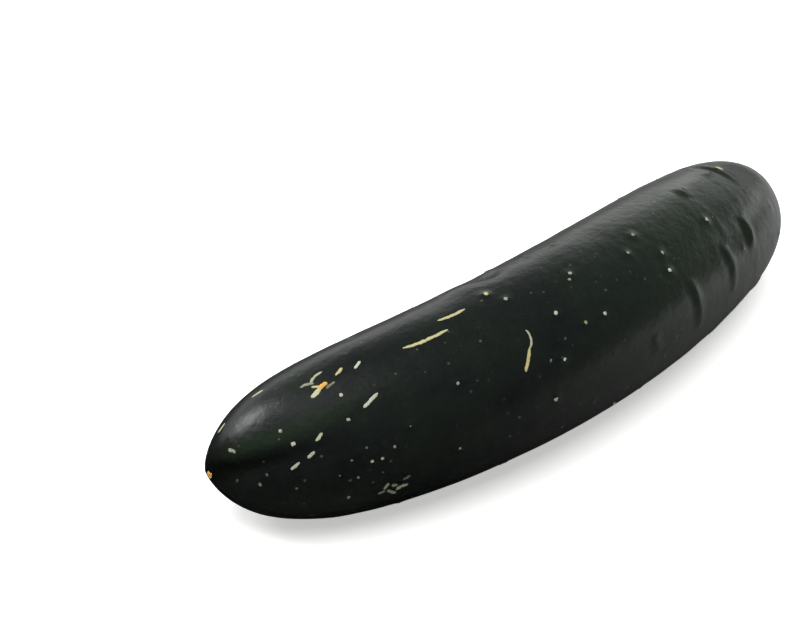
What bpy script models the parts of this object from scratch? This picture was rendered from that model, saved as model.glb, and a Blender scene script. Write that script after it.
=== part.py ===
# Slicing cucumber (Cucumis sativus), picked whole and lying on its belly.
#
# The fruit grew as one piece, so the part is one closed solid: a gently bent
# body with three faint ribs, a small corky nub where the blossom fell off (-X)
# and a shallow dimple with a corky scar where the stalk came away (+X).
#
# Units are metres and +Z is up. The line from one tip to the other runs along
# X, the outside of the bend faces -Y, and the origin is under the middle of
# the fruit's bounding box, on the surface that it lies on.

import math

import bmesh
import bpy
import numpy as np

# Driving dimensions of the body
BODY_LENGTH = 0.212          # along the bent middle line, tip to tip
GIRTH_RADIUS = 0.0251        # at the fullest point
FULLEST_FROM_TIP = 0.110     # from the blossom tip to the fullest point
BLOSSOM_SLIMMING = 0.0030    # radius lost towards the blossom end, before its cap
STEM_SLIMMING = 0.0063       # radius lost towards the stem end, before its cap
BLOSSOM_CAP_LENGTH = 0.0150  # how far back the pointed cap reaches
BLOSSOM_CAP_POWER = 0.69     # 0.5 is a round cap, 1 is a cone
STEM_CAP_LENGTH = 0.0120
STEM_CAP_POWER = 0.52
BEND = math.radians(49.0)    # total turn of the middle line, strongest near the blossom end

# Three faint ribs, left by the three seed chambers
RIB_COUNT = 3
RIB_AT_BLOSSOM = 0.050       # rib height as a share of the local radius
RIB_ALONG_BODY = 0.008
RIB_AT_STEM = 0.020
RIB_FADE_LENGTH = 0.024      # how quickly the end ribs fade into the body
RIB_TURN = math.radians(-14.0)  # turn of the ribs about the middle line

# The two ends
NUB_RADIUS = 0.0017          # corky nub at the blossom end
NUB_HEIGHT = 0.0006
NUB_FOOT_MARGIN = 0.00025    # skin left around the nub's foot
SCAR_RADIUS = 0.0036         # corky disc at the stem end
DIMPLE_RADIUS = 0.0075       # rim of the dimple around the disc
DIMPLE_DEPTH = 0.0016

# How it lies
START_ROLL = math.radians(18.0)  # the bend's plane before the fruit settles
BELLY_FLAT = 0.00060         # depth of the flattened ground side

# Mesh density
RINGS = 60
SIDES = 48
SPINE_STEPS = 600


def middle_line():
    """Points and directions of the bent middle line, with its chord on X."""
    step = BODY_LENGTH / SPINE_STEPS
    heading = [BEND * math.sin(math.pi / 2 * i / SPINE_STEPS) for i in range(SPINE_STEPS + 1)]
    x, y = [0.0], [0.0]
    for before, after in zip(heading, heading[1:]):
        x.append(x[-1] + step * (math.cos(before) + math.cos(after)) / 2)
        y.append(y[-1] + step * (math.sin(before) + math.sin(after)) / 2)
    chord = math.atan2(y[-1], x[-1])
    on_chord = np.exp(-1j * chord) * (np.array(x) + 1j * np.array(y))
    return on_chord.real, on_chord.imag, np.array(heading) - chord


def body_radius(s):
    """Mean radius at the distance s from the blossom tip."""
    if s < FULLEST_FROM_TIP:
        slimming, away = BLOSSOM_SLIMMING, 1 - s / FULLEST_FROM_TIP
    else:
        slimming, away = STEM_SLIMMING, (s - FULLEST_FROM_TIP) / (BODY_LENGTH - FULLEST_FROM_TIP)
    barrel = GIRTH_RADIUS - slimming * away ** 2
    blossom_cap = (1 - math.exp(-s / BLOSSOM_CAP_LENGTH)) ** BLOSSOM_CAP_POWER
    stem_cap = (1 - math.exp(-(BODY_LENGTH - s) / STEM_CAP_LENGTH)) ** STEM_CAP_POWER
    return barrel * blossom_cap * stem_cap


def rib_height(s):
    """Height of the ribs at the distance s, as a share of the radius."""
    at_blossom = math.exp(-s / RIB_FADE_LENGTH)
    at_stem = math.exp(-(BODY_LENGTH - s) / RIB_FADE_LENGTH)
    return (RIB_ALONG_BODY + (RIB_AT_BLOSSOM - RIB_ALONG_BODY) * at_blossom
            + (RIB_AT_STEM - RIB_ALONG_BODY) * at_stem)


def station_of_radius(radius, near_blossom):
    """Distance along the fruit where an end cap has grown to a radius."""
    low, high = (0.0, BODY_LENGTH / 2) if near_blossom else (BODY_LENGTH / 2, BODY_LENGTH)
    for _ in range(50):
        middle = (low + high) / 2
        if (body_radius(middle) < radius) == near_blossom:
            low = middle
        else:
            high = middle
    return (low + high) / 2


def ring_list():
    """Each ring as (distance along the fruit, radius, shift along the fruit)."""
    nub_foot = station_of_radius(NUB_RADIUS + NUB_FOOT_MARGIN, True)
    scar_edge = station_of_radius(SCAR_RADIUS, False)
    rings = [(nub_foot, NUB_RADIUS * 0.8, -NUB_HEIGHT), (nub_foot, NUB_RADIUS, -NUB_HEIGHT * 0.3)]
    for i in range(RINGS):
        s = nub_foot + (scar_edge - nub_foot) * (1 - math.cos(math.pi * i / (RINGS - 1))) / 2
        radius = body_radius(s)
        sinking = 0.0
        if s > BODY_LENGTH / 2:
            sinking = max(0.0, (DIMPLE_RADIUS - radius) / (DIMPLE_RADIUS - SCAR_RADIUS))
        rings.append((s, radius, -DIMPLE_DEPTH * math.sin(math.pi / 2 * sinking) ** 2))
    rings.append((scar_edge, SCAR_RADIUS * 0.55, -DIMPLE_DEPTH * 0.85))
    return rings


def ring_points(ring, line):
    """The points of one ring, square to the bent middle line."""
    s, radius, shift = ring
    x, y, heading = (np.interp(s / BODY_LENGTH * SPINE_STEPS, np.arange(SPINE_STEPS + 1), part)
                     for part in line)
    along = np.array([math.cos(heading), math.sin(heading), 0.0])
    across = np.array([-math.sin(heading), math.cos(heading), 0.0])
    up = np.array([0.0, 0.0, 1.0])
    centre = np.array([x, y, 0.0]) + shift * along
    points = []
    for i in range(SIDES):
        angle = 2 * math.pi * i / SIDES
        reach = radius * (1 + rib_height(s) * math.cos(RIB_COUNT * (angle - RIB_TURN)))
        points.append(centre + reach * (math.cos(angle) * across + math.sin(angle) * up))
    return points


def loft(rings_of_points):
    """One closed mesh through the rings, with a pole in the middle of each end ring."""
    mesh = bmesh.new()
    loops = [[mesh.verts.new(point) for point in points] for points in rings_of_points]
    for low, high in zip(loops, loops[1:]):
        for i in range(SIDES):
            j = (i + 1) % SIDES
            mesh.faces.new((low[i], low[j], high[j], high[i]))
    for loop in (loops[0], loops[-1]):
        pole = mesh.verts.new(np.mean([vert.co for vert in loop], axis=0))
        for i in range(SIDES):
            mesh.faces.new((loop[i], loop[(i + 1) % SIDES], pole))
    bmesh.ops.recalc_face_normals(mesh, faces=mesh.faces)
    return mesh


def turned(points, roll, pitch):
    """Points rolled about X and then pitched about Y."""
    cr, sr, cp, sp = math.cos(roll), math.sin(roll), math.cos(pitch), math.sin(pitch)
    about_x = np.array([[1, 0, 0], [0, cr, -sr], [0, sr, cr]])
    about_y = np.array([[cp, 0, sp], [0, 1, 0], [-sp, 0, cp]])
    return points @ (about_y @ about_x).T


def settle(points, weight_centre):
    """Roll and pitch at which the fruit lies still: its weight is as low as it gets."""
    arms = points - weight_centre

    def weight_height(lie):
        return -turned(arms, *lie)[:, 2].min()

    lie = np.array([-START_ROLL, 0.0])
    step = math.radians(2.0)
    while step > math.radians(0.01):
        moves = [lie + np.array(move) * step for move in ((1, 0), (-1, 0), (0, 1), (0, -1))]
        best = min(moves, key=weight_height)
        if weight_height(best) < weight_height(lie):
            lie = best
        else:
            step /= 2
    return lie


def skin_material():
    material = bpy.data.materials.new("cucumber_skin")
    material.use_nodes = True
    shader = material.node_tree.nodes["Principled BSDF"]
    shader.inputs["Base Color"].default_value = (0.006, 0.018, 0.006, 1.0)
    shader.inputs["Roughness"].default_value = 0.3
    shader.inputs["Metallic"].default_value = 0.0
    return material


def make_cucumber():
    line = middle_line()
    rings = ring_list()
    mesh = loft([ring_points(ring, line) for ring in rings])

    # The weight centre, from discs along the middle line
    stations = np.linspace(0, BODY_LENGTH, SPINE_STEPS + 1)
    weights = np.array([body_radius(s) ** 2 for s in stations])
    weight_centre = np.array([np.average(line[0], weights=weights),
                              np.average(line[1], weights=weights), 0.0])

    points = np.array([vert.co[:] for vert in mesh.verts])
    points = turned(points, *settle(points, weight_centre))

    # The ground side is flattened, and the origin goes under the middle of the box
    ground = points[:, 2].min() + BELLY_FLAT
    points[:, 2] = np.maximum(points[:, 2], ground) - ground
    points[:, :2] -= (points[:, :2].min(axis=0) + points[:, :2].max(axis=0)) / 2
    for vert, point in zip(mesh.verts, points):
        vert.co = point

    data = bpy.data.meshes.new("cucumber")
    mesh.to_mesh(data)
    mesh.free()
    data.shade_smooth()
    data.materials.append(skin_material())
    cucumber = bpy.data.objects.new("cucumber", data)
    bpy.context.scene.collection.objects.link(cucumber)


for old in list(bpy.data.objects):
    bpy.data.objects.remove(old)
make_cucumber()
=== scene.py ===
import math
import random

import bmesh
import bpy
import numpy as np
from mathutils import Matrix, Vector


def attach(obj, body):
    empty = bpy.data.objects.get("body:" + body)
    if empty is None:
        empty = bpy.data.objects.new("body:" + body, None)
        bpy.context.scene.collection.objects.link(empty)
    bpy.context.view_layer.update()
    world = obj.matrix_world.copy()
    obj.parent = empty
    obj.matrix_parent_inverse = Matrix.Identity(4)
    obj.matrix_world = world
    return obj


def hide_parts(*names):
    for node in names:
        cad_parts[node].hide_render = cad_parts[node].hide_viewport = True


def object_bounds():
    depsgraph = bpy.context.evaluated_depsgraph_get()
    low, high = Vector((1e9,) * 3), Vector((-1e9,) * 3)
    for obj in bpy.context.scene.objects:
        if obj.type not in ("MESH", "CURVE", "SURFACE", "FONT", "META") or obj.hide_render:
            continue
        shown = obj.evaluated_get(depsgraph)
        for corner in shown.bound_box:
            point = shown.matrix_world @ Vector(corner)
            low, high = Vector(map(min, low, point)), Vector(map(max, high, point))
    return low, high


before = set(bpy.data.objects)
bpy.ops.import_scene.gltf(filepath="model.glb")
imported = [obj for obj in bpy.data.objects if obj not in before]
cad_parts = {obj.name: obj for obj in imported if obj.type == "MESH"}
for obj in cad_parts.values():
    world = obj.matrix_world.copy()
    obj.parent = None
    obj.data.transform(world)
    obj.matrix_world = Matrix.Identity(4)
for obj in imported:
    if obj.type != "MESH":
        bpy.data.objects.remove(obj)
cadLow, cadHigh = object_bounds()
print("packed solid loaded")

mm = 0.001


def linear(hexColour):
    # sRGB hex to the linear colour that a socket takes
    parts = [int(hexColour[i:i + 2], 16) / 255 for i in (1, 3, 5)]
    return tuple(p / 12.92 if p <= 0.04045 else ((p + 0.055) / 1.055) ** 2.4 for p in parts) + (1.0,)


def addNode(tree, kind, links=None, **settings):
    # adds a node; links maps an input's name or number to a value or to another node's output
    node = tree.nodes.new(kind)
    for name, value in settings.items():
        setattr(node, name, value)
    for key, value in (links or {}).items():
        if isinstance(value, bpy.types.NodeSocket):
            tree.links.new(value, node.inputs[key])
        else:
            node.inputs[key].default_value = value
    return node


def blend(tree, amount, one, other):
    return addNode(tree, "ShaderNodeMix", {"Factor": amount, 6: one, 7: other}, data_type="RGBA").outputs[2]


def newMaterial(name):
    material = bpy.data.materials.new(name)
    material.use_nodes = True
    return material, material.node_tree, material.node_tree.nodes["Principled BSDF"]


cameraPlace = dict(
    azimuth=-38.5,
    elevation=37.0,
    distance=0.8,
    aim=(-24.9 * mm, 30.2 * mm, 25.0 * mm),
    lens=126.8,
    nearest=0.01,
    farthest=50.0,
)


def direction(azimuth, elevation):
    # the way from the object to a camera or lamp; azimuth 0 stands at -Y
    a, e = math.radians(azimuth), math.radians(elevation)
    return Vector((math.sin(a) * math.cos(e), -math.cos(a) * math.cos(e), math.sin(e)))


def makeCamera():
    data = bpy.data.cameras.new("camera")
    data.lens = cameraPlace["lens"]
    data.clip_start, data.clip_end = cameraPlace["nearest"], cameraPlace["farthest"]
    camera = bpy.data.objects.new("camera", data)
    bpy.context.scene.collection.objects.link(camera)
    back = direction(cameraPlace["azimuth"], cameraPlace["elevation"])
    camera.location = Vector(cameraPlace["aim"]) + back * cameraPlace["distance"]
    camera.rotation_euler = (-back).to_track_quat("-Z", "Y").to_euler()
    bpy.context.scene.camera = camera


studio = dict(
    floorSize=9.0,
    floorColour="#f4f4f2",
    floorGlow=0.55,             # the paper is lit a little from below, so the shadow stays light
    paperRoughness=0.9,
    domeRadius=4.4,
    domeSegments=(48, 24),
    domeColour="#f6f6f5",
    airColour="#8f969c",        # what the wax mirrors where no lamp stands
    airStrength=0.30,
    airStrengthBelow=0.02,      # it dims towards the horizon and stays dim below it
    airFrom=-0.05,
    airFull=0.4,
    # name: azimuth, elevation, distance, width, height, watts, whether the wax mirrors it
    lamps=dict(
        ceilingWash=(0, 90, 2.6, 3.4, 3.4, 120.0, False),
        windowBackLeft=(-140, 34, 0.95, 0.34, 0.34, 3.0, True),
        softOverLeft=(-100, 70, 1.0, 0.6, 0.6, 0.6, True),
        panelBehind=(172, 12, 1.1, 2.1, 0.42, 2.8, True),
        panelRight=(118, 16, 1.2, 0.8, 0.5, 1.15, True),
        stripBehind=(147, 1.5, 0.55, 0.36, 0.06, 0.07, True),
        lowRight=(90, 5, 0.8, 0.30, 0.12, 0.32, True),
    ),
    # a grey card on the floor beside the stem end, which only the wax mirrors
    cardLow=(-0.09, -0.22),
    cardHigh=(0.34, 0.12),
    cardLift=0.1 * mm,
    # its shades from left to right, and where along X each is reached
    cardShades=("#0a0a0a", "#7a7a79", "#c8c8c8"),
    cardPlaces=(-0.05, 0.08, 0.18),
)


def stagePiece(name, mesh, material):
    piece = bpy.data.objects.new(name, mesh)
    bpy.context.scene.collection.objects.link(piece)
    mesh.materials.append(material)
    return piece


def addCard():
    (left, front), (right, back) = studio["cardLow"], studio["cardHigh"]
    corners = [(left, front), (right, front), (right, back), (left, back)]
    mesh = bpy.data.meshes.new("card")
    mesh.from_pydata([(x, y, studio["cardLift"]) for x, y in corners], [], [(0, 1, 2, 3)])
    board, tree, shader = newMaterial("grey card")
    place = addNode(tree, "ShaderNodeTexCoord").outputs["Object"]
    across = addNode(tree, "ShaderNodeSeparateXYZ", {0: place}).outputs[0]
    shades, places = studio["cardShades"], studio["cardPlaces"]
    shade = linear(shades[0])
    for nextShade, start, end in zip(shades[1:], places, places[1:]):
        fade = addNode(tree, "ShaderNodeMapRange", {"Value": across, "From Min": start, "From Max": end})
        shade = blend(tree, fade.outputs[0], shade, linear(nextShade))
    tree.links.new(shade, shader.inputs["Base Color"])
    shader.inputs["Roughness"].default_value = studio["paperRoughness"]
    card = stagePiece("card", mesh, board)
    card.visible_camera = card.visible_diffuse = card.visible_shadow = False


def makeStudio():
    half = studio["floorSize"] / 2
    corners = [(-half, -half, 0), (half, -half, 0), (half, half, 0), (-half, half, 0)]
    mesh = bpy.data.meshes.new("floor")
    mesh.from_pydata(corners, [], [(0, 1, 2, 3)])
    paper, tree, shader = newMaterial("pale studio paper")
    shader.inputs["Base Color"].default_value = linear(studio["floorColour"])
    shader.inputs["Roughness"].default_value = studio["paperRoughness"]
    shader.inputs["Emission Color"].default_value = linear(studio["floorColour"])
    shader.inputs["Emission Strength"].default_value = studio["floorGlow"]
    floor = stagePiece("floor", mesh, paper)
    floor.visible_glossy = False    # the wax mirrors the dim room and the card instead
    addCard()

    dome = bmesh.new()
    around, up = studio["domeSegments"]
    bmesh.ops.create_uvsphere(dome, u_segments=around, v_segments=up, radius=studio["domeRadius"])
    mesh = bpy.data.meshes.new("dome")
    dome.to_mesh(mesh)
    dome.free()
    cloth, tree, shader = newMaterial("pale backdrop cloth")
    shader.inputs["Base Color"].default_value = (0, 0, 0, 1)
    shader.inputs["Emission Color"].default_value = linear(studio["domeColour"])
    shader.inputs["Emission Strength"].default_value = 1.0
    backdrop = stagePiece("backdrop", mesh, cloth)
    backdrop.visible_diffuse = backdrop.visible_glossy = backdrop.visible_shadow = False

    middle = (cadLow + cadHigh) / 2
    for name, (azimuth, elevation, distance, width, height, watts, seen) in studio["lamps"].items():
        data = bpy.data.lights.new(name, "AREA")
        data.shape = "RECTANGLE"
        data.size, data.size_y, data.energy = width, height, watts
        lamp = bpy.data.objects.new(name, data)
        bpy.context.scene.collection.objects.link(lamp)
        out = direction(azimuth, elevation)
        lamp.location = middle + out * distance
        lamp.rotation_euler = out.to_track_quat("Z", "Y").to_euler()
        lamp.visible_camera = False
        lamp.visible_glossy = seen

    world = bpy.data.worlds.new("studio air")
    world.use_nodes = True
    tree = world.node_tree
    air = tree.nodes["Background"]
    air.inputs["Color"].default_value = linear(studio["airColour"])
    place = addNode(tree, "ShaderNodeTexCoord").outputs["Generated"]
    height = addNode(tree, "ShaderNodeSeparateXYZ", {0: place}).outputs[2]
    fade = addNode(tree, "ShaderNodeMapRange", {
        "Value": height, "From Min": studio["airFrom"], "From Max": studio["airFull"],
        "To Min": studio["airStrengthBelow"], "To Max": studio["airStrength"]})
    tree.links.new(fade.outputs[0], air.inputs["Strength"])
    bpy.context.scene.world = world
    bpy.context.scene.view_settings.view_transform = "Standard"


fruit = dict(
    length=212.0 * mm,
    girthRadius=25.1 * mm,
    fullestFromTip=110.0 * mm,
    blossomSlimming=3.0 * mm,
    stemSlimming=6.3 * mm,
    blossomCap=15.0 * mm,
    blossomPower=0.69,
    stemCap=12.0 * mm,
    stemPower=0.52,
    bend=math.radians(49.0),
    roll=math.radians(-19.1),
    pitch=math.radians(-0.67),
    ribAtBlossom=0.05,
    ribAlongBody=0.008,
    ribAtStem=0.02,
    ribFade=24.0 * mm,
    ribCount=3,
    ribTurn=math.radians(-14.0),
    scarRadius=3.6 * mm,
    dimpleRadius=7.5 * mm,
    dimpleDepth=1.6 * mm,
    bellyFlat=0.6 * mm,
    capZone=12.0 * mm,     # rings stand closer together in the end caps
    capRings=40,
    ringGap=0.55 * mm,
    scarRings=10,
    sides=210,
    lineSteps=4000,        # of the fine line that the rings are read from
    boxSides=180,          # steps round a ring when the box is measured
)


def meanRadius(s):
    f = fruit
    s = np.asarray(s, float)
    front = f["girthRadius"] - f["blossomSlimming"] * np.clip(1 - s / f["fullestFromTip"], 0, 1) ** 2
    away = np.clip((s - f["fullestFromTip"]) / (f["length"] - f["fullestFromTip"]), 0, 1)
    barrel = front - f["stemSlimming"] * away ** 2
    blossom = (1 - np.exp(-np.maximum(s, 0) / f["blossomCap"])) ** f["blossomPower"]
    stem = (1 - np.exp(-np.maximum(f["length"] - s, 0) / f["stemCap"])) ** f["stemPower"]
    return barrel * blossom * stem


def ribHeight(s):
    f = fruit
    atBlossom = np.exp(-s / f["ribFade"])
    atStem = np.exp(-(f["length"] - s) / f["ribFade"])
    return (f["ribAlongBody"] + (f["ribAtBlossom"] - f["ribAlongBody"]) * atBlossom
            + (f["ribAtStem"] - f["ribAlongBody"]) * atStem)


def makeLine():
    # the middle line as arrays: distance, centre, the two directions of each ring, radius, rib height
    f = fruit
    fine = np.linspace(0, f["length"], f["lineSteps"] + 1)
    heading = f["bend"] * np.sin(np.pi / 2 * fine / f["length"])
    step = fine[1] - fine[0]
    way = np.exp(1j * heading)
    path = np.concatenate([[0], np.cumsum((way[1:] + way[:-1]) / 2) * step])
    chord = np.angle(path[-1])
    path, heading = path * np.exp(-1j * chord), heading - chord

    low, high = f["length"] / 2, f["length"]     # where the stem cap has narrowed to the stalk scar
    for _ in range(50):         # halvings
        middle = (low + high) / 2
        low, high = (middle, high) if meanRadius(middle) > f["scarRadius"] else (low, middle)
    scarEdge = low

    near = f["capZone"] * np.linspace(0, 1, f["capRings"] + 1) ** 2
    count = round((scarEdge - 2 * f["capZone"]) / f["ringGap"])
    body = np.linspace(f["capZone"], scarEdge - f["capZone"], count)[1:-1]
    s = np.concatenate([near, body, scarEdge - near[::-1]])
    radius = meanRadius(s)
    radius[0] = 0
    sinking = np.clip((f["dimpleRadius"] - radius) / (f["dimpleRadius"] - f["scarRadius"]), 0, 1)
    shift = np.where(s > f["length"] / 2, -f["dimpleDepth"] * np.sin(np.pi / 2 * sinking) ** 2, 0)
    inner = np.arange(1, f["scarRings"] + 1) / f["scarRings"]
    s = np.concatenate([s, np.full(len(inner), scarEdge)])
    radius = np.concatenate([radius, f["scarRadius"] * (1 - inner)])
    shift = np.concatenate([shift, np.full(len(inner), -f["dimpleDepth"])])

    turn = np.interp(s, fine, heading)
    along = np.stack([np.cos(turn), np.sin(turn), 0 * s], 1)
    across = np.stack([-np.sin(turn), np.cos(turn), 0 * s], 1)
    up = np.tile([0.0, 0.0, 1.0], (len(s), 1))
    centre = np.stack([np.interp(s, fine, path.real), np.interp(s, fine, path.imag), 0 * s], 1)
    centre += along * shift[:, None]

    cr, sr = math.cos(f["roll"]), math.sin(f["roll"])
    cp, sp = math.cos(f["pitch"]), math.sin(f["pitch"])
    pitched = np.array([[cp, 0, sp], [0, 1, 0], [-sp, 0, cp]])
    rolled = np.array([[1, 0, 0], [0, cr, -sr], [0, sr, cr]])
    lie = pitched @ rolled
    centre, along, across, up = (v @ lie.T for v in (centre, along, across, up))
    line = dict(s=s, centre=centre, along=along, across=across, up=up, radius=radius, rib=ribHeight(s))

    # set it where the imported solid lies
    angle = np.linspace(0, 2 * np.pi, f["boxSides"] + 1)[None, :, None]
    ribs = np.cos(f["ribCount"] * (angle[..., 0] - f["ribTurn"]))
    reach = radius[:, None] * (1 + line["rib"][:, None] * ribs)
    outward = np.cos(angle) * across[:, None] + np.sin(angle) * up[:, None]
    rings = centre[:, None] + reach[..., None] * outward
    low, high = rings.min((0, 1)), rings.max((0, 1))
    line["centre"] = centre + [(cadLow.x + cadHigh.x - low[0] - high[0]) / 2,
                               (cadLow.y + cadHigh.y - low[1] - high[1]) / 2,
                               cadLow.z - low[2] - f["bellyFlat"]]
    return line


def lineObject(line):
    # the middle line as a wire of points that carry what each ring needs
    mesh = bpy.data.meshes.new("middle line")
    count = len(line["s"])
    mesh.from_pydata([tuple(c) for c in line["centre"]], [(i, i + 1) for i in range(count - 1)], [])
    for name in ("across", "up"):
        mesh.attributes.new(name, "FLOAT_VECTOR", "POINT").data.foreach_set("vector", line[name].ravel())
    for name in ("s", "radius", "rib"):
        mesh.attributes.new(name, "FLOAT", "POINT").data.foreach_set("value", line[name])
    wire = bpy.data.objects.new("cucumber_skin", mesh)
    bpy.context.scene.collection.objects.link(wire)
    return wire


def newTree(name, inputs):
    tree = bpy.data.node_groups.new(name, "GeometryNodeTree")
    tree.interface.new_socket("Geometry", in_out="OUTPUT", socket_type="NodeSocketGeometry")
    tree.interface.new_socket("Geometry", in_out="INPUT", socket_type="NodeSocketGeometry")
    for label, kind in inputs:
        tree.interface.new_socket(label, in_out="INPUT", socket_type=kind)
    return tree, addNode(tree, "NodeGroupInput"), addNode(tree, "NodeGroupOutput")


def math1(tree, operation, a, b=0.0, c=0.0):
    return addNode(tree, "ShaderNodeMath", {0: a, 1: b, 2: c}, operation=operation).outputs[0]


def named(tree, name, kind="FLOAT"):
    node = addNode(tree, "GeometryNodeInputNamedAttribute", {"Name": name}, data_type=kind)
    return node.outputs["Attribute"]


def store(tree, shape, name, value, kind="FLOAT"):
    given = {"Geometry": shape, "Name": name, "Value": value}
    return addNode(tree, "GeometryNodeStoreNamedAttribute", given, data_type=kind).outputs[0]


def vector(tree, operation, a, b):
    return addNode(tree, "ShaderNodeVectorMath", {0: a, 1: b}, operation=operation).outputs[0]


def scaled(tree, value, amount):
    return addNode(tree, "ShaderNodeVectorMath", {0: value, "Scale": amount}, operation="SCALE").outputs[0]


def finish(tree, shape, material, result):
    # smooth, real faces in their material
    shape = addNode(tree, "GeometryNodeSetShadeSmooth", {"Geometry": shape}).outputs[0]
    shape = addNode(tree, "GeometryNodeRealizeInstances", {"Geometry": shape}).outputs[0]
    shape = addNode(tree, "GeometryNodeSetMaterial", {"Geometry": shape, "Material": material}).outputs[0]
    tree.links.new(shape, result.inputs[0])


def applyTree(piece, tree, values):
    # sets the modifier's inputs by their identifiers, then keeps the result as a plain mesh
    modifier = piece.modifiers.new(tree.name, "NODES")
    modifier.node_group = tree
    for item in tree.interface.items_tree:
        if item.item_type == "SOCKET" and item.in_out == "INPUT" and item.name in values:
            modifier[item.identifier] = values[item.name]
    graph = bpy.context.evaluated_depsgraph_get()
    made = piece.evaluated_get(graph)
    mesh = bpy.data.meshes.new_from_object(made, preserve_all_data_layers=True, depsgraph=graph)
    piece.modifiers.clear()
    piece.data = mesh


skinRelief = dict(
    undulationHeight=0.30 * mm,     # slow swells of the flesh below
    undulationSize=26.0 * mm,
    dimpleHeight=0.10 * mm,         # smaller dents
    dimpleSize=9.0 * mm,
    wrinkleHeight=0.07 * mm,        # folds across the stem half, where the fruit has lost water
    wrinkleGap=14.0 * mm,
    wrinkleFrom=105.0 * mm,
    wrinkleFull=165.0 * mm,
    wrinkleReach=0.22,              # across the pattern against along it: folds run round the fruit
    creaseSharpness=0.06,
    mergeGap=0.001 * mm,            # closes the seam and the two poles
    seeds=dict(undulation=3.7, dimple=8.1, wrinkle=5.3),
)


def skinTree(stations):
    r = skinRelief
    tree, given, result = newTree("sweep skin along the middle line", [
        ("Sides", "NodeSocketInt"), ("Rib turn", "NodeSocketFloat"),
        ("Undulation height", "NodeSocketFloat"), ("Undulation size", "NodeSocketFloat"),
        ("Dimple height", "NodeSocketFloat"), ("Dimple size", "NodeSocketFloat"),
        ("Wrinkle height", "NodeSocketFloat"), ("Wrinkle gap", "NodeSocketFloat"),
        ("Wrinkle from", "NodeSocketFloat"), ("Wrinkle full", "NodeSocketFloat"),
        ("Skin", "NodeSocketMaterial")])
    out = given.outputs
    around = math1(tree, "ADD", out["Sides"], 1.0)
    grid = addNode(tree, "GeometryNodeMeshGrid", {"Vertices X": stations, "Vertices Y": around})
    index = addNode(tree, "GeometryNodeInputIndex").outputs[0]
    station = math1(tree, "FLOOR", math1(tree, "DIVIDE", math1(tree, "ADD", index, 0.5), around))
    place = math1(tree, "SUBTRACT", index, math1(tree, "MULTIPLY", station, around))
    angle = math1(tree, "MULTIPLY", math1(tree, "DIVIDE", place, out["Sides"]), 2 * math.pi)

    def fromLine(kind, value):
        return addNode(tree, "GeometryNodeSampleIndex", {
            "Geometry": out["Geometry"], "Value": value, "Index": station}, data_type=kind).outputs[0]

    centre = fromLine("FLOAT_VECTOR", addNode(tree, "GeometryNodeInputPosition").outputs[0])
    across = fromLine("FLOAT_VECTOR", named(tree, "across", "FLOAT_VECTOR"))
    up = fromLine("FLOAT_VECTOR", named(tree, "up", "FLOAT_VECTOR"))
    radius = fromLine("FLOAT", named(tree, "radius"))
    rib = fromLine("FLOAT", named(tree, "rib"))
    along = fromLine("FLOAT", named(tree, "s"))
    cosine, sine = math1(tree, "COSINE", angle), math1(tree, "SINE", angle)
    fromRib = math1(tree, "SUBTRACT", angle, out["Rib turn"])
    ribs = math1(tree, "COSINE", math1(tree, "MULTIPLY", fromRib, fruit["ribCount"]))
    reach = math1(tree, "MULTIPLY", radius, math1(tree, "MULTIPLY_ADD", rib, ribs, 1.0))
    side = scaled(tree, across, math1(tree, "MULTIPLY", reach, cosine))
    rise = scaled(tree, up, math1(tree, "MULTIPLY", reach, sine))
    spot = vector(tree, "ADD", centre, vector(tree, "ADD", side, rise))

    # the straightened fruit: what a pattern reads so that it follows the bend and has no seam
    straight = addNode(tree, "ShaderNodeCombineXYZ", {
        0: along, 1: math1(tree, "MULTIPLY", radius, cosine), 2: math1(tree, "MULTIPLY", radius, sine)})
    shape = store(tree, grid.outputs["Mesh"], "straight", straight.outputs[0], "FLOAT_VECTOR")
    shape = store(tree, shape, "along", along)
    shape = addNode(tree, "GeometryNodeSetPosition", {"Geometry": shape, "Position": spot}).outputs[0]
    merge = {"Geometry": shape, "Distance": r["mergeGap"]}
    shape = addNode(tree, "GeometryNodeMergeByDistance", merge).outputs[0]

    # relief along the normal
    flat = named(tree, "straight", "FLOAT_VECTOR")

    def noise(place, size, detail, seed):
        return addNode(tree, "ShaderNodeTexNoise", {
            "Vector": place, "Scale": math1(tree, "DIVIDE", 1.0, size), "Detail": detail, "W": seed},
            noise_dimensions="4D").outputs[0]

    def swell(name, seed):
        wave = math1(tree, "MULTIPLY_ADD", noise(flat, out[name + " size"], 2.0, seed), 2.0, -1.0)
        return math1(tree, "MULTIPLY", wave, out[name + " height"])

    seeds = r["seeds"]
    relief = math1(tree, "ADD", swell("Undulation", seeds["undulation"]), swell("Dimple", seeds["dimple"]))
    squeezed = vector(tree, "MULTIPLY", flat, (1.0, r["wrinkleReach"], r["wrinkleReach"]))
    folds = noise(squeezed, out["Wrinkle gap"], 1.0, seeds["wrinkle"])
    crease = addNode(tree, "ShaderNodeMapRange", {
        "Value": math1(tree, "ABSOLUTE", math1(tree, "SUBTRACT", folds, 0.5)), "From Min": 0.0,
        "From Max": r["creaseSharpness"], "To Min": -1.0, "To Max": 0.0}, interpolation_type="SMOOTHSTEP")
    ramp = addNode(tree, "ShaderNodeMapRange", {
        "Value": named(tree, "along"), "From Min": out["Wrinkle from"], "From Max": out["Wrinkle full"],
        "To Min": 0.0, "To Max": 1.0}, interpolation_type="SMOOTHSTEP")
    crease = math1(tree, "MULTIPLY", crease.outputs[0], ramp.outputs[0])
    relief = math1(tree, "ADD", relief, math1(tree, "MULTIPLY", crease, out["Wrinkle height"]))
    offset = scaled(tree, addNode(tree, "GeometryNodeInputNormal").outputs[0], relief)
    shape = addNode(tree, "GeometryNodeSetPosition", {"Geometry": shape, "Offset": offset}).outputs[0]
    finish(tree, shape, out["Skin"], result)
    return tree


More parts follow.
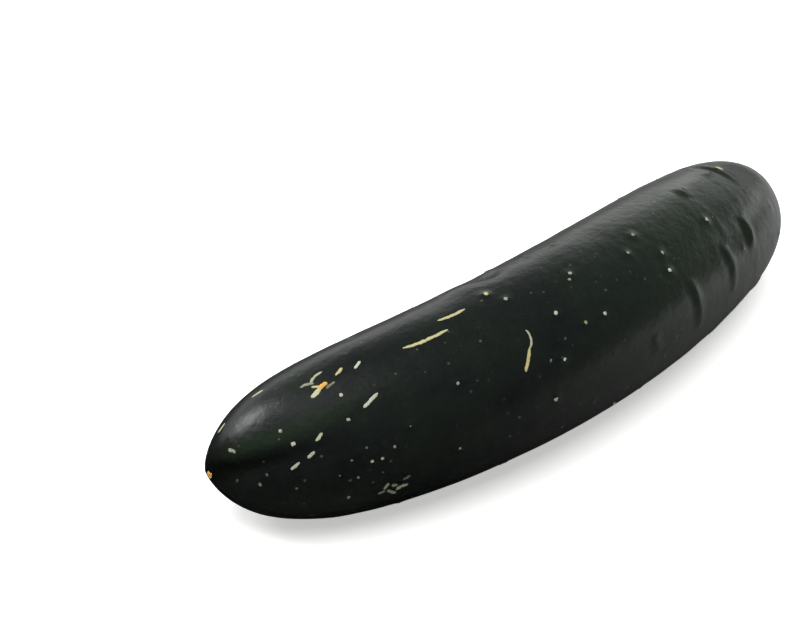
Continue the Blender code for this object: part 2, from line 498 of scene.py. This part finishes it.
def makeSkin(line, material):
    skin = lineObject(line)
    r = skinRelief
    applyTree(skin, skinTree(len(line["s"])), {
        "Sides": fruit["sides"], "Rib turn": fruit["ribTurn"],
        "Undulation height": r["undulationHeight"], "Undulation size": r["undulationSize"],
        "Dimple height": r["dimpleHeight"], "Dimple size": r["dimpleSize"],
        "Wrinkle height": r["wrinkleHeight"], "Wrinkle gap": r["wrinkleGap"],
        "Wrinkle from": r["wrinkleFrom"], "Wrinkle full": r["wrinkleFull"], "Skin": material})
    body = bmesh.new()
    body.from_mesh(skin.data)
    bmesh.ops.recalc_face_normals(body, faces=body.faces)
    body.to_mesh(skin.data)
    body.free()
    return skin


# Places below are (millimetres along, degrees around).
skinFeatures = dict(
    warts=[(134.5, 120), (128, 129), (137.5, 141), (136, 153), (160, 139), (103.5, 154), (110, 155),
           (97.5, 140), (108.5, 122), (88.5, 116), (93.5, 167), (65, 153), (85.5, 105), (61, 195),
           (89, 190)],
    wartHeight=0.42 * mm,
    wartRadius=1.6 * mm,
    wartSharpness=1.6,
    moatDepth=0.12,                 # the faint ring dent around each, as a share of its height
    moatAt=1.9,                     # and how many radii out it lies
    moreWarts=46,                   # seeded, behind the blossom end
    moreWartsFrom=46,
    moreWartsTo=196,
    moreWartsSize=(0.35, 0.9),
    wartSpacing=9.0 * mm,
    placeSeed=5,
    sizeSeed=11,
    # raised folds across the stem half: path, height in millimetres
    ridges=[([(182.5, 80), (184, 96), (185, 109), (185, 131)], 0.55),
            ([(173.6, 151), (174, 164), (173, 179)], 1.05),
            ([(159.8, 160), (161.2, 178), (159.8, 198)], 0.8),
            ([(141.3, 165), (142.3, 183), (142.3, 204)], 1.1),
            ([(164, 104), (163.5, 111), (163, 118)], 0.55),
            ([(123, 186), (124, 193), (125, 200)], 0.5),
            ([(152, 20), (153, 40), (151, 60)], 0.45),
            ([(170, 330), (171, 352), (169, 372)], 0.5),
            ([(158, 232), (160, 250), (158, 262)], 0.4),
            ([(181, 215), (182, 235), (180, 258)], 0.45),
            ([(190, 30), (191, 55), (189, 72)], 0.4)],
    ridgeSteep=1.2 * mm,            # a fold is steep towards the blossom end and gentle towards the stem
    ridgeGentle=1.9 * mm,
    ridgeFoot=0.12,                 # the dent at its steep foot, as a share of its height
    ridgeFootAt=2.2,
    ridgeTaper=0.6,
    # a low hump on the back and the dip behind it: place, height and radius in millimetres
    swellings=[((83.5, 82), 0.6, 7.0), ((94, 81), -0.9, 4.5)],
    swellingSharpness=1.5,
    valleyAround=165,               # the valley between two ribs, deep at the blossom end, darkened there with painted shade
    valleyFrom=1.5,
    valleyTo=36.0,
    valleySteps=12,
    valleyDepth=1.1 * mm,
    valleyWidth=3.2 * mm,
    valleySkew=0.6,                 # it is deepest nearer the blossom tip
    shadeWidth=1.1,                 # of the painted shade darkening it, as a share of its own
    shadeStrength=1.3,
    flushPath=[(7, 149), (14, 146), (24, 143), (38, 141)],      # where the rind stays greener
    flushWidth=2.8 * mm,
    flushFade=0.7,
    bellySoftness=0.25 * mm,        # how softly the skin turns flat where it lies
)


def straightSpots(places):
    # places on the fruit as points of the straightened fruit
    s, angle = np.array(places, float).T
    s, angle = s * mm, np.radians(angle)
    radius = meanRadius(s)
    return np.stack([s, radius * np.cos(angle), radius * np.sin(angle)], 1)


def distanceToPath(points, path):
    # how far each point is from a path, how far along the path it lies, from 0 to 1, and whether it is
    # beyond the path, towards the stem (1), or before it (-1)
    best = np.full(len(points), 1e9)
    part, side = np.zeros(len(points)), np.ones(len(points))
    lengths = np.linalg.norm(np.diff(path, axis=0), axis=1)
    start = 0.0
    for a, b, length in zip(path, path[1:], lengths):
        t = np.clip(((points - a) @ (b - a)) / length ** 2, 0, 1)
        away = points - (a + t[:, None] * (b - a))
        gap = np.linalg.norm(away, axis=1)
        closer = gap < best
        side[closer] = np.sign(away[closer, 0])
        best[closer] = gap[closer]
        part[closer] = (start + t[closer] * length) / lengths.sum()
        start += length
    return best, part, side


def densePath(places, parts=8):
    places = np.array(places, float)
    t = np.linspace(0, len(places) - 1, (len(places) - 1) * parts + 1)
    return straightSpots(np.stack([np.interp(t, range(len(places)), places[:, i]) for i in (0, 1)], 1))


def bell(distance, width):
    return np.exp(-(distance / width) ** 2)


def spread(count, spacing, taken, seed, low, high, tries=4000):
    # seeded places over the whole skin that keep their distance from each other and from those taken
    dice = random.Random(seed)
    places, spots = [], [Vector(spot) for spot in straightSpots(taken)]
    for _ in range(tries):
        place = (dice.uniform(low, high), dice.uniform(0, 360))
        spot = Vector(straightSpots([place])[0])
        if all((spot - other).length > spacing for other in spots):
            places.append(place)
            spots.append(spot)
            if len(places) == count:
                break
    return places


def raiseFeatures(skin):
    f = skinFeatures
    mesh = skin.data
    count = len(mesh.vertices)
    straight, normal, co = (np.zeros(count * 3) for _ in range(3))
    mesh.attributes["straight"].data.foreach_get("vector", straight)
    mesh.vertices.foreach_get("normal", normal)
    mesh.vertices.foreach_get("co", co)
    straight, normal, co = (v.reshape(-1, 3) for v in (straight, normal, co))
    lift = np.zeros(count)

    def gapTo(place):
        return np.linalg.norm(straight - straightSpots([place])[0], axis=1)

    dice = random.Random(f["sizeSeed"])
    listed = [(place, 1.0) for place in f["warts"]]
    others = spread(f["moreWarts"], f["wartSpacing"], f["warts"], f["placeSeed"], f["moreWartsFrom"],
                    f["moreWartsTo"])
    listed += [(place, dice.uniform(*f["moreWartsSize"])) for place in others]
    for place, size in listed:
        gap = gapTo(place)
        radius = f["wartRadius"] * (0.7 + 0.3 * size)
        height = f["wartHeight"] * size
        lift += height * np.exp(-(gap / radius) ** 2 * f["wartSharpness"])
        lift -= f["moatDepth"] * height * np.exp(-((gap - f["moatAt"] * radius) / radius) ** 2 * 2)
    for places, height in f["ridges"]:
        gap, part, side = distanceToPath(straight, densePath(places))
        ends = np.sin(np.pi * np.clip(part, 0, 1)) ** f["ridgeTaper"]
        steep, gentle = f["ridgeSteep"], f["ridgeGentle"]
        lift += height * mm * ends * bell(gap, np.where(side < 0, steep, gentle))
        foot = bell(gap - f["ridgeFootAt"] * steep, steep) * (side < 0)
        lift -= f["ridgeFoot"] * height * mm * ends * foot
    for place, height, radius in f["swellings"]:
        lift += height * mm * np.exp(-(gapTo(place) / (radius * mm)) ** 2 * f["swellingSharpness"])

    steps = np.linspace(f["valleyFrom"], f["valleyTo"], f["valleySteps"])
    valley = [(s, f["valleyAround"]) for s in steps]
    gap, part, _ = distanceToPath(straight, straightSpots(valley))
    deepening = np.sin(np.pi * np.clip(part, 0, 1) ** f["valleySkew"])
    lift -= f["valleyDepth"] * deepening * bell(gap, f["valleyWidth"])
    # painted shade: the rind's colour is darkened along the valley, where shade falls in it
    shade = np.clip(f["shadeStrength"] * bell(gap, f["shadeWidth"] * f["valleyWidth"]), 0, 1)
    shade *= 1 - part ** 2
    gap, part, _ = distanceToPath(straight, densePath(f["flushPath"]))
    flush = bell(gap, f["flushWidth"]) * (1 - f["flushFade"] * part)
    for name, values in (("painted_valley_shade", shade), ("flush", flush)):
        mesh.attributes.new(name, "FLOAT", "POINT").data.foreach_set("value", values)

    co += normal * lift[:, None]
    soft = f["bellySoftness"]
    pressed = soft * np.log1p(np.exp(np.minimum(co[:, 2], 4 * soft) / soft))
    co[:, 2] = np.where(co[:, 2] > 4 * soft, co[:, 2], pressed)
    co[:, 2] -= co[:, 2].min()
    mesh.vertices.foreach_set("co", co.ravel())
    mesh.update()
    return others


corkMarks = dict(
    # path, width in mm, tint (0 grey cream, 1 yellow), how pale (0 hardly shows, 1 bright)
    strokes=[
        ([(17, 95), (19, 95), (20.5, 95)], 1.0, 0.3, 0.9),
        ([(6, 100), (7.3, 99), (8.5, 98)], 1.0, 0.55, 0.9),
        ([(7.6, 137), (8.6, 141), (9.2, 144)], 1.2, 0.15, 0.55),
        # the star of cracks near the blossom end
        ([(29, 114), (30.3, 113.2), (32.6, 115.5)], 1.2, 0.1, 0.5),
        ([(32.8, 122), (34, 120.5), (35.6, 119)], 1.7, 0.95, 1.0),
        ([(30.6, 126), (32.2, 123.8), (33.4, 121.4)], 1.6, 0.3, 1.0),
        ([(31.6, 117.5), (33, 119.5), (34.4, 121)], 0.9, 0.7, 0.8),
        ([(31.8, 114.5), (32.6, 111.6), (33.9, 109.4), (35.8, 108.6)], 1.1, 0.35, 0.75),
        ([(34.8, 123.5), (37.4, 121)], 1.1, 0.1, 0.3),
        # short scratches
        ([(38.3, 116.5), (39.5, 115), (40.7, 112.5)], 1.1, 0.7, 0.85),
        ([(43.3, 117.5), (45.6, 113.5)], 1.1, 0.1, 1.0),
        ([(41.3, 146), (43.2, 143.5), (45.8, 140)], 1.1, 0.15, 1.0),
        ([(28.2, 157.5), (30.2, 152.5)], 1.1, 0.2, 0.9), ([(25.3, 168), (27.2, 164.5)], 1.1, 0.15, 0.8),
        ([(20.8, 174), (22, 172), (23.2, 169.5)], 1.0, 0.2, 0.75),
        ([(41, 208.5), (42.5, 204)], 1.2, 0.2, 0.26),
        ([(44, 212.5), (45.5, 210.5), (47.2, 211)], 1.5, 0.25, 0.32),
        ([(44.2, 216.5), (43, 214), (42, 210)], 1.3, 0.2, 0.2),
        ([(39.5, 212), (41.5, 210)], 1.2, 0.25, 0.15), ([(46, 205), (48, 203)], 1.0, 0.2, 0.12),
        ([(43, 207), (44.5, 208.5)], 1.4, 0.3, 0.2),
        # the long scratches on the back, and the hooked one on the side
        ([(69.3, 107.8), (71.5, 108.8), (74.3, 109), (77.7, 108.4)], 1.3, 0.5, 0.85),
        ([(56.8, 117), (59.3, 118.3), (62.5, 118.8), (66.2, 118.6), (69.7, 118)], 1.3, 0.5, 0.9),
        ([(87.4, 140.5), (87.7, 144), (87.4, 147.5), (86.7, 151), (85.5, 153)], 0.8, 0.2, 0.75),
        ([(85.9, 152), (85.2, 155), (84.2, 158.5), (82.4, 164.5)], 1.25, 0.78, 0.85),
    ],
    # round spots: place, width in mm, tint, how pale
    spots=[
        ((37.5, 132), 1.3, 0.1, 0.9), ((37, 150), 1.1, 0.1, 0.75), ((21, 141), 1.1, 0.1, 0.65),
        ((23, 154), 1.3, 0.2, 0.95), ((39.5, 183), 1.2, 0.1, 0.65), ((42, 183), 1.1, 0.1, 0.55),
        ((45.5, 178), 1.0, 0.1, 0.4), ((32.5, 208), 1.3, 0.2, 0.24), ((13, 184), 1.3, 0.2, 0.2),
        ((35, 178), 0.9, 0.1, 0.25), ((35.5, 192), 1.0, 0.1, 0.25), ((21, 191), 0.9, 0.1, 0.12),
        ((15, 175), 0.9, 0.1, 0.12), ((39, 172), 0.9, 0.1, 0.15), ((31.5, 187), 0.9, 0.1, 0.18),
        ((85.5, 105), 1.6, 0.7, 0.95), ((103.5, 154), 1.2, 0.7, 0.45), ((88.3, 116), 1.5, 0.1, 0.6),
        ((107.2, 124.5), 1.2, 0.1, 0.5), ((108.8, 121.5), 1.3, 0.1, 0.65), ((97.2, 140), 1.4, 0.1, 0.9),
        ((110, 155), 1.3, 0.1, 0.9), ((93.7, 168), 1.3, 0.0, 1.0), ((64.8, 153.5), 1.2, 0.1, 0.5),
        ((88.5, 190), 1.2, 0.1, 0.55), ((61, 195), 1.0, 0.1, 0.35), ((90, 165), 1.1, 0.1, 0.25),
        ((134.5, 120), 1.2, 0.2, 0.45), ((128, 129), 1.1, 0.2, 0.5), ((137.5, 141), 1.3, 0.2, 0.5),
        ((136, 153), 1.4, 0.0, 1.0), ((160, 139), 1.3, 0.1, 0.8), ((185.5, 109), 2.5, 0.3, 0.9),
    ],
    spotReach=0.45,                 # half the length of a spot's path, as a share of its width
    moreFlecks=34,                  # seeded, on the sides that the listed ones leave bare
    fleckSpacing=7.0 * mm,
    flecksFrom=12,
    flecksTo=175,
    bareFrom=80,                    # no seeded ones between these, in degrees around
    bareTo=225,
    fleckLength=(1.5, 5.5),
    placeSeed=31,
    shapeSeed=23,
    thickness=0.30,                 # share of the width that stands above the skin
    widening=0.85,                  # brings the listed widths down to those of the drawn marks
    step=0.12 * mm,
    wobble=0.12 * mm,
    wobbleSize=1.3 * mm,
    raggedness=0.5,
    raggedSize=0.8 * mm,
    bluntness=4.0,                  # of the ends: higher is blunter
    profileSides=14,
)


def markPaths(moreWarts):
    # every mark as (path in places, width, tint, paleness)
    c = corkMarks
    dice = random.Random(c["shapeSeed"])

    def degrees(length, s, smallest=0.0):
        return math.degrees(length * mm / max(float(meanRadius(s * mm)), smallest))

    def spot(place, width, tint, pale):
        s, angle = place
        lean = dice.uniform(-1, 1)
        reach = c["spotReach"] * width
        turn = degrees(reach * (1 - abs(lean)), s, 2 * mm)
        return [(s - reach * lean, angle - turn), (s + reach * lean, angle + turn)], width, tint, pale

    paths = list(c["strokes"]) + [spot(*one) for one in c["spots"]]
    for place in moreWarts:
        paths.append(spot(place, dice.uniform(0.5, 0.8), 0.2, dice.uniform(0.12, 0.4)))
    taken = [path[0][0] for path in paths]
    for s, angle in spread(c["moreFlecks"], c["fleckSpacing"], taken, c["placeSeed"], c["flecksFrom"],
                           c["flecksTo"]):
        if c["bareFrom"] < angle < c["bareTo"]:
            continue
        width, tint, pale = dice.uniform(0.8, 1.3), dice.uniform(0, 0.8), dice.uniform(0.35, 1.0)
        if dice.random() < 0.4:
            paths.append(spot((s, angle), width, tint, pale))
            continue
        heading, length = dice.uniform(-1.2, 1.2), dice.uniform(*c["fleckLength"])
        path = [(s, angle)]
        for _ in range(3):
            heading += dice.uniform(-0.5, 0.5)
            s += length / 3 * math.cos(heading)
            angle += degrees(length / 3 * math.sin(heading), s)
            path.append((s, angle))
        paths.append((path, width, tint, pale))
    return paths


def onSkin(line, s, angle=None):
    # the point of the swept skin at a place, in metres and radians, or of the middle line without an angle
    body = slice(0, -fruit["scarRings"])
    centre, across, up = (
        np.array([np.interp(s, line["s"][body], line[name][body, i]) for i in range(3)])
        for name in ("centre", "across", "up"))
    if angle is None:
        return centre
    ribs = math.cos(fruit["ribCount"] * (angle - fruit["ribTurn"]))
    reach = float(meanRadius(s)) * (1 + float(ribHeight(s)) * ribs)
    return centre + reach * (math.cos(angle) * across + math.sin(angle) * up)


def marksTree():
    c = corkMarks
    tree, given, result = newTree("lay corky marks on the skin", [
        ("Skin", "NodeSocketObject"), ("Thickness", "NodeSocketFloat"), ("Step", "NodeSocketFloat"),
        ("Wobble", "NodeSocketFloat"), ("Raggedness", "NodeSocketFloat"), ("Cork", "NodeSocketMaterial")])
    out = given.outputs
    skin = addNode(tree, "GeometryNodeObjectInfo", {"Object": out["Skin"]}, transform_space="RELATIVE")
    surface = skin.outputs["Geometry"]
    place = addNode(tree, "GeometryNodeInputPosition").outputs[0]

    def noise(size):
        return addNode(tree, "ShaderNodeTexNoise", {"Vector": place, "Scale": 1 / size, "Detail": 2.0})

    # the paths wander a little, and are then laid on the skin with their flat side to it
    curve = addNode(tree, "GeometryNodeMeshToCurve", {"Mesh": out["Geometry"]}).outputs[0]
    steps = {"Curve": curve, "Length": out["Step"]}
    curve = addNode(tree, "GeometryNodeResampleCurve", steps, mode="LENGTH").outputs[0]
    drift = vector(tree, "SUBTRACT", noise(c["wobbleSize"]).outputs[1], (0.5, 0.5, 0.5))
    drift = scaled(tree, drift, math1(tree, "MULTIPLY", out["Wobble"], 4.0))
    curve = addNode(tree, "GeometryNodeSetPosition", {"Geometry": curve, "Offset": drift}).outputs[0]
    nearest = addNode(tree, "GeometryNodeProximity", {0: surface}, target_element="FACES")
    nearest = nearest.outputs["Position"]
    curve = addNode(tree, "GeometryNodeSetPosition", {"Geometry": curve, "Position": nearest}).outputs[0]
    normal = addNode(tree, "GeometryNodeInputNormal").outputs[0]
    facing = addNode(tree, "GeometryNodeSampleNearestSurface", {"Mesh": surface, "Value": normal},
                     data_type="FLOAT_VECTOR").outputs[0]
    upright = {"Curve": curve, "Normal": facing}
    curve = addNode(tree, "GeometryNodeSetCurveNormal", upright, mode="FREE").outputs[0]

    # the width tapers at both ends and is ragged along the way
    part = addNode(tree, "GeometryNodeSplineParameter").outputs["Factor"]
    fromMiddle = math1(tree, "ABSOLUTE", math1(tree, "MULTIPLY_ADD", part, 2.0, -1.0))
    taper = math1(tree, "SUBTRACT", 1.001, math1(tree, "POWER", fromMiddle, c["bluntness"]))
    taper = math1(tree, "POWER", taper, 0.5)
    ragged = math1(tree, "MULTIPLY_ADD", noise(c["raggedSize"]).outputs[0], 2.0, -1.0)
    ragged = math1(tree, "MULTIPLY_ADD", ragged, out["Raggedness"], 1.0)
    half = math1(tree, "MULTIPLY", named(tree, "width"), 0.5)
    half = math1(tree, "MULTIPLY", half, math1(tree, "MULTIPLY", taper, ragged))

    circle = {"Resolution": c["profileSides"], "Radius": 1.0}
    ring = addNode(tree, "GeometryNodeCurvePrimitiveCircle", circle).outputs[0]
    crown = addNode(tree, "ShaderNodeSeparateXYZ", {0: place}).outputs[0]
    ring = store(tree, ring, "crown", crown)
    flat = addNode(tree, "ShaderNodeCombineXYZ", {0: out["Thickness"], 1: 1.0, 2: 1.0}).outputs[0]
    ring = addNode(tree, "GeometryNodeTransform", {"Geometry": ring, "Scale": flat}).outputs[0]
    shape = addNode(tree, "GeometryNodeCurveToMesh", {
        "Curve": curve, "Profile Curve": ring, "Scale": half, "Fill Caps": True}).outputs[0]
    finish(tree, shape, out["Cork"], result)
    return tree


def makeMarks(line, skin, moreWarts, material):
    c = corkMarks
    points, edges, width, tint, pale = [], [], [], [], []
    for path, wide, yellow, bright in markPaths(moreWarts):
        for i, (s, angle) in enumerate(path):
            if i:
                edges.append((len(points) - 1, len(points)))
            points.append(tuple(onSkin(line, s * mm, math.radians(angle))))
            width.append(wide * c["widening"] * mm)
            tint.append(yellow)
            pale.append(bright)
    mesh = bpy.data.meshes.new("mark paths")
    mesh.from_pydata(points, edges, [])
    for name, values in (("width", width), ("tint", tint), ("pale", pale)):
        mesh.attributes.new(name, "FLOAT", "POINT").data.foreach_set("value", values)
    marks = bpy.data.objects.new("cork_marks", mesh)
    bpy.context.scene.collection.objects.link(marks)
    applyTree(marks, marksTree(), {
        "Skin": skin, "Thickness": c["thickness"], "Step": c["step"], "Wobble": c["wobble"],
        "Raggedness": c["raggedness"], "Cork": material})
    for vertex in marks.data.vertices:      # the ones on the belly are pressed flat too
        vertex.co.z = max(vertex.co.z, 0.0)
    return marks


blossomScar = dict(
    offTip=1.2 * mm,                # just off the very tip
    around=math.radians(180),
    axisFrom=6.0 * mm,
    radius=1.6 * mm,
    lobes=5,
    lobeDepth=0.16,
    crown=0.35 * mm,                # heights above the skin: middle, edge and hidden foot
    edge=-0.45 * mm,
    foot=-0.9 * mm,
    pit=0.40 * mm,
    pitWidth=0.30,
    fibre=0.05 * mm,
    fibres=11,
    tint=0.95,
    pale=1.0,
    seed=3,
)
stalkScar = dict(
    radius=3.5 * mm,
    lobes=9,
    lobeDepth=0.10,
    crown=0.40 * mm,
    edge=-0.25 * mm,
    foot=-0.9 * mm,
    pit=0.60 * mm,
    pitWidth=0.20,
    fibre=0.12 * mm,
    fibres=23,
    tint=0.45,
    pale=0.75,
    seed=4,
)


def makeScar(name, look, centre, axis, material, rings=14, sides=60):
    # a crumbly corky disc with a torn pit in the middle, closed below the skin
    dice = random.Random(look["seed"])
    phase = [dice.uniform(0, 2 * math.pi) for _ in range(3)]
    toAxis = Vector(axis).to_track_quat("Z", "Y")
    turns = [2 * math.pi * j / sides for j in range(sides)]
    build = bmesh.new()

    def point(t, turn, height):
        lobe = 1 - look["lobeDepth"] * (0.5 - 0.5 * math.cos(look["lobes"] * turn + phase[0]))
        reach = look["radius"] * t * lobe
        spot = Vector((reach * math.cos(turn), reach * math.sin(turn), height))
        return build.verts.new(Vector(centre) + toAxis @ spot)

    def profile(t, turn):
        height = look["crown"] + (look["edge"] - look["crown"]) * t ** 2.5
        height -= look["pit"] * math.exp(-(t / look["pitWidth"]) ** 2)
        wave = math.sin(look["fibres"] * turn + phase[1] + 2 * t)
        wave += 0.6 * math.sin((2 * look["fibres"] - 5) * turn + phase[2])
        return height + look["fibre"] * wave * t * (1 - t) * 3

    loops, crown = [], []
    for i in range(rings, 0, -1):
        t = i / rings
        loops.append([point(t, turn, profile(t, turn)) for turn in turns])
        shown = min(1.0, 0.25 + 4 * (1 - t)) * (1 - 0.8 * math.exp(-(t / look["pitWidth"]) ** 2))
        crown += [shown] * sides
    top = point(0, 0, profile(0, 0))
    foot = [point(0.9, turn, look["foot"]) for turn in turns]
    base = point(0, 0, look["foot"])
    crown += [0.1] + [0.0] * (sides + 1)
    for low, high in zip([foot] + loops, loops):
        for j in range(sides):
            build.faces.new((low[j], low[j - 1], high[j - 1], high[j]))
    for j in range(sides):
        build.faces.new((loops[-1][j], loops[-1][j - 1], top))
        build.faces.new((foot[j - 1], foot[j], base))
    bmesh.ops.recalc_face_normals(build, faces=build.faces)
    mesh = bpy.data.meshes.new(name)
    build.to_mesh(mesh)
    build.free()
    mesh.shade_smooth()
    count = len(mesh.vertices)
    stored = (("crown", crown), ("tint", [look["tint"]] * count), ("pale", [look["pale"]] * count))
    for label, values in stored:
        mesh.attributes.new(label, "FLOAT", "POINT").data.foreach_set("value", values)
    mesh.materials.append(material)
    scar = bpy.data.objects.new(name, mesh)
    bpy.context.scene.collection.objects.link(scar)
    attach(scar, "root")


skinLook = dict(
    deep="#0b0e0f",
    green="#161d14",
    stemGreen="#1b2518",            # the stem half stays a little greener
    stemFrom=95.0 * mm,
    stemFull=150.0 * mm,
    stemShare=0.65,
    flush="#182613",
    # painted shade for the valley between the ribs
    painted_valley_shade="#050704",
    mottleSize=16.0 * mm,
    mottleShare=0.65,
    fleckSize=2.2 * mm,
    fleckShare=0.35,
    lenticel="#59604a",             # the tiny pale breathing pores, which come in patches
    lenticelGap=2.6 * mm,
    lenticelRadius=0.26 * mm,
    lenticelShows=0.55,
    patchSize=12.0 * mm,
    roughness=0.38,
    roughnessSpread=0.08,
    filmSize=5.0 * mm,
    coat=0.2,
    coatRoughness=0.25,
    pimpleSize=2.2 * mm,            # cells and pores of the rind, drawn as coarse as they need to show
    pimpleHeight=0.22 * mm,
    poreSize=0.7 * mm,
    poreHeight=0.04 * mm,
)


def read(tree, name):
    return addNode(tree, "ShaderNodeAttribute", attribute_name=name)


def waxedSkin():
    # Waxed cucumber rind: near-black green under a thin wax film, so light lies on it in broad soft patches
    look = skinLook
    material, tree, shader = newMaterial("waxed cucumber rind")
    flat = read(tree, "straight").outputs["Vector"]

    def noise(size, detail, low, high, seed):
        wave = addNode(tree, "ShaderNodeTexNoise", {
            "Vector": flat, "Scale": 1 / size, "Detail": detail, "W": seed}, noise_dimensions="4D")
        return addNode(tree, "ShaderNodeMapRange", {
            "Value": wave.outputs[0], "From Min": low, "From Max": high}).outputs[0]

    mottle = noise(look["mottleSize"], 4.0, 0.3, 0.7, 1.0)
    fleck = noise(look["fleckSize"], 3.0, 0.35, 0.75, 2.0)
    mottle = math1(tree, "MULTIPLY", mottle, look["mottleShare"])
    amount = math1(tree, "MULTIPLY_ADD", fleck, look["fleckShare"], mottle)
    colour = blend(tree, amount, linear(look["deep"]), linear(look["green"]))
    stemHalf = addNode(tree, "ShaderNodeMapRange", {
        "Value": read(tree, "along").outputs["Fac"], "From Min": look["stemFrom"],
        "From Max": look["stemFull"], "To Max": look["stemShare"]}).outputs[0]
    colour = blend(tree, stemHalf, colour, linear(look["stemGreen"]))
    colour = blend(tree, read(tree, "flush").outputs["Fac"], colour, linear(look["flush"]))
    # painted shade: darkens the colour in the rib valley near the blossom end
    colour = blend(tree, read(tree, "painted_valley_shade").outputs["Fac"], colour, linear(look["painted_valley_shade"]))

    gap, radius = look["lenticelGap"], look["lenticelRadius"]
    cells = addNode(tree, "ShaderNodeTexVoronoi", {"Vector": flat, "Scale": 1 / gap, "Randomness": 1.0})
    near = math1(tree, "MULTIPLY", cells.outputs["Distance"], gap)
    size = addNode(tree, "ShaderNodeSeparateColor", {0: cells.outputs["Color"]}).outputs[0]
    edge = math1(tree, "MULTIPLY", size, radius * 1.6)
    dot = addNode(tree, "ShaderNodeMapRange", {
        "Value": math1(tree, "SUBTRACT", near, edge), "From Min": -0.12 * mm, "From Max": 0.12 * mm,
        "To Min": 1.0, "To Max": 0.0}).outputs[0]
    dot = math1(tree, "MULTIPLY", dot, noise(look["patchSize"], 1.0, 0.42, 0.62, 6.0))
    dot = math1(tree, "MULTIPLY", dot, look["lenticelShows"])
    colour = blend(tree, dot, colour, linear(look["lenticel"]))
    tree.links.new(colour, shader.inputs["Base Color"])

    film = noise(look["filmSize"], 4.0, 0.25, 0.75, 5.0)
    smoothest = look["roughness"] - look["roughnessSpread"] / 2
    rough = math1(tree, "MULTIPLY_ADD", film, look["roughnessSpread"], smoothest)
    tree.links.new(rough, shader.inputs["Roughness"])
    shader.inputs["Coat Weight"].default_value = look["coat"]
    shader.inputs["Coat Roughness"].default_value = look["coatRoughness"]
    pimples = addNode(tree, "ShaderNodeBump", {
        "Height": noise(look["pimpleSize"], 2.0, 0.0, 1.0, 3.0), "Distance": look["pimpleHeight"]})
    pores = addNode(tree, "ShaderNodeBump", {
        "Height": noise(look["poreSize"], 2.0, 0.0, 1.0, 4.0), "Distance": look["poreHeight"],
        "Normal": pimples.outputs[0]})
    tree.links.new(pores.outputs[0], shader.inputs["Normal"])
    return material


corkLook = dict(
    grey="#b4b8ab",
    straw="#c6bf86",
    amber="#e09f3c",
    rim="#222c1a",                  # the green edge where it thins out over the rind
    roughness=0.75,
    crumbSize=0.5 * mm,
    crumbHeight=0.1 * mm,
)


def cork():
    # Wound cork: dry, matt and pale, with a green edge where it thins out over the rind
    look = corkLook
    material, tree, shader = newMaterial("dry wound cork")

    def ramp(value, low, high, start=0.0):
        return addNode(tree, "ShaderNodeMapRange", {
            "Value": value, "From Min": low, "From Max": high, "To Min": start}).outputs[0]

    place = addNode(tree, "ShaderNodeTexCoord").outputs["Object"]
    grain = addNode(tree, "ShaderNodeTexNoise", {
        "Vector": place, "Scale": 1 / look["crumbSize"], "Detail": 3.0}).outputs[0]
    crown, pale, tint = (read(tree, name).outputs["Fac"] for name in ("crown", "pale", "tint"))
    shows = math1(tree, "MULTIPLY", ramp(crown, 0.15, 0.6), pale)
    shows = math1(tree, "MULTIPLY", shows, ramp(grain, 0.3, 0.7, 0.75))
    dry = blend(tree, ramp(tint, 0.0, 0.6), linear(look["grey"]), linear(look["straw"]))
    dry = blend(tree, ramp(tint, 0.75, 1.0), dry, linear(look["amber"]))
    tree.links.new(blend(tree, shows, linear(look["rim"]), dry), shader.inputs["Base Color"])
    shader.inputs["Roughness"].default_value = look["roughness"]
    bump = addNode(tree, "ShaderNodeBump", {
        "Height": grain, "Strength": 0.5, "Distance": look["crumbHeight"]})
    tree.links.new(bump.outputs[0], shader.inputs["Normal"])
    return material


makeCamera()
makeStudio()
print("camera and studio ready")
line = makeLine()
skin = makeSkin(line, waxedSkin())
moreWarts = raiseFeatures(skin)
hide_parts("cucumber")
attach(skin, "root")
print("skin made:", len(skin.data.polygons), "faces")
corkMaterial = cork()
marks = makeMarks(line, skin, moreWarts, corkMaterial)
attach(marks, "root")
print("corky marks made:", len(marks.data.polygons), "faces")
tip = onSkin(line, blossomScar["offTip"], blossomScar["around"])
makeScar("blossom_scar", blossomScar, tip, tip - onSkin(line, blossomScar["axisFrom"]), corkMaterial)
makeScar("stalk_scar", stalkScar, line["centre"][-1], line["along"][-1], corkMaterial)
print("end scars made")

bpy.context.view_layer.update()
